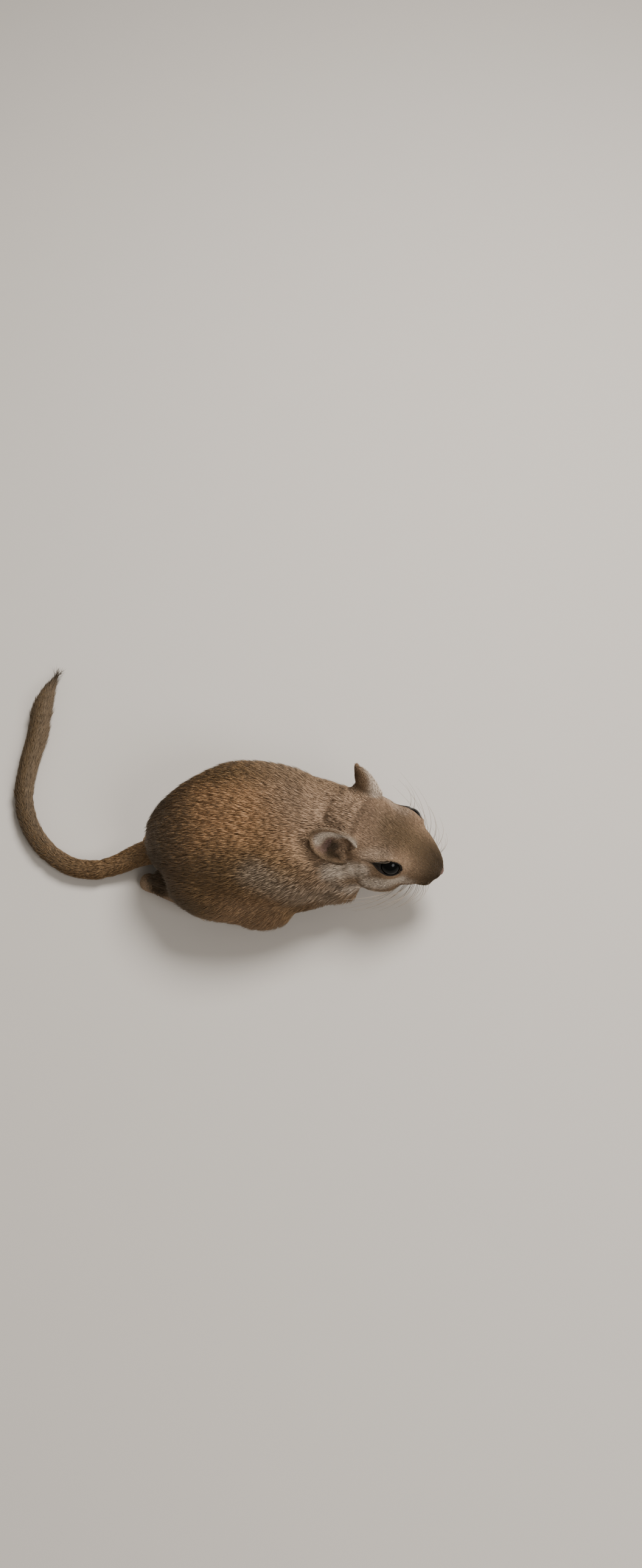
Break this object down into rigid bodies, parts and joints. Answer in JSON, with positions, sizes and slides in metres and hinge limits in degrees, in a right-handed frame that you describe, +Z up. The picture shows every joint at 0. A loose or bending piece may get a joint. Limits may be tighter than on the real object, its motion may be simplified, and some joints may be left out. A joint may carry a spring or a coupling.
{
  "type": "gerbil",
  "caption": "Life-size brown agouti gerbil crouching on all fours, its head turned to its right and its tail curled round behind it.",
  "frame": {"origin": "centre of the footprint of its bounding box, on the floor that its feet and tail rest on", "axes": "+X is the way the body faces, +Y its left side, the side its tail curls to, +Z up"},
  "size_m": [0.1576, 0.1088, 0.0479],
  "materials": {
    "coat_back": "golden brown fur with dark tips",
    "coat_head": "greyish brown short fur with cream cheeks",
    "coat_haunch": "paler brown fur",
    "coat_tail": "short golden fur with a dark streak and tuft",
    "ear_skin": "thin soft skin with fine hair",
    "foot_skin": "soft pinkish skin with pale hair",
    "eye": "wet black"
  },
  "bodies": {
    "root": {"torso": "coat_back", "neck": "coat_head", "head": "coat_head", "ear_left": "ear_skin", "ear_right": "ear_skin", "eye_left": "eye", "eye_right": "eye", "thigh_left": "coat_haunch", "thigh_right": "coat_haunch", "fore_leg_left": "coat_haunch", "fore_leg_right": "coat_haunch", "hind_foot_left": "foot_skin", "hind_foot_right": "foot_skin", "fore_foot_left": "foot_skin", "fore_foot_right": "foot_skin", "tail_1": "coat_tail", "tail_2": "coat_tail", "tail_3": "coat_tail", "tail_4": "coat_tail", "tail_5": "coat_tail"}
  },
  "joints": []
}
